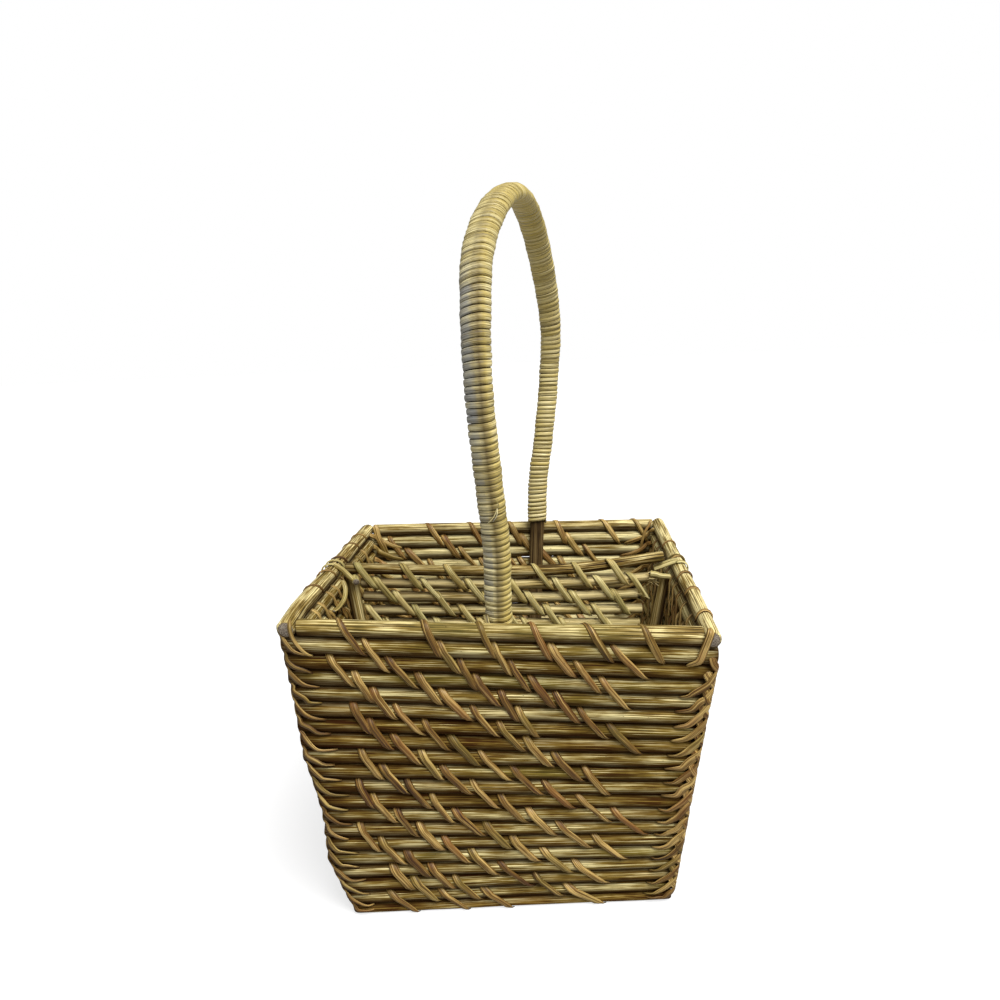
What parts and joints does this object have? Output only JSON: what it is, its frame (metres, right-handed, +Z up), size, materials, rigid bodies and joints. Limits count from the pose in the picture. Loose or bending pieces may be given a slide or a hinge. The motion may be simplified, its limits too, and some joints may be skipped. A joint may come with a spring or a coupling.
{
  "type": "basket caddy",
  "caption": "Square flared caddy basket of stacked, laced cane rods, with a divider across the middle and a tall wrapped arch handle for carrying it.",
  "frame": {"origin": "middle of the footprint, on the surface that the basket stands on", "axes": "+X to the right along the front, +Y from the front to the back, +Z up towards the handle"},
  "size_m": [0.1552, 0.1582, 0.282],
  "materials": {
    "rod": "satin natural cane",
    "rim": "satin natural cane",
    "strip": "smoked split cane",
    "core": "bare dark cane",
    "wrap": "glossy split cane"
  },
  "bodies": {
    "root": {"front_base_rod": "rod", "front_wall_rods": "rod", "front_rim_rod": "rim", "front_lacing": "strip", "right_base_rod": "rod", "right_wall_rods": "rod", "right_rim_rod": "rim", "right_lacing": "strip", "back_base_rod": "rod", "back_wall_rods": "rod", "back_rim_rod": "rim", "back_lacing": "strip", "left_base_rod": "rod", "left_wall_rods": "rod", "left_rim_rod": "rim", "left_lacing": "strip", "floor_rods": "rod", "floor_lacing": "strip", "front_left_corner_stitching": "strip", "front_right_corner_stitching": "strip", "back_left_corner_stitching": "strip", "back_right_corner_stitching": "strip", "divider_top_rod": "rim", "divider_rod_01": "rod", "divider_rod_02": "rod", "divider_rod_03": "rod", "divider_rod_04": "rod", "divider_rod_05": "rod", "divider_rod_06": "rod", "divider_rod_07": "rod", "divider_rod_08": "rod", "divider_rod_09": "rod", "divider_rod_10": "rod", "divider_rod_11": "rod", "divider_rod_12": "rod", "divider_rod_13": "rod", "divider_rod_14": "rod", "divider_rod_15": "rod", "divider_rod_16": "rod", "divider_rod_17": "rod", "left_divider_post": "rod", "left_divider_tie": "strip", "right_divider_post": "rod", "right_divider_tie": "strip", "divider_lacing": "strip", "handle_core": "core", "handle_wrap": "wrap", "front_handle_upper_tie": "strip", "front_handle_lower_tie": "strip", "back_handle_upper_tie": "strip", "back_handle_lower_tie": "strip"}
  },
  "joints": []
}
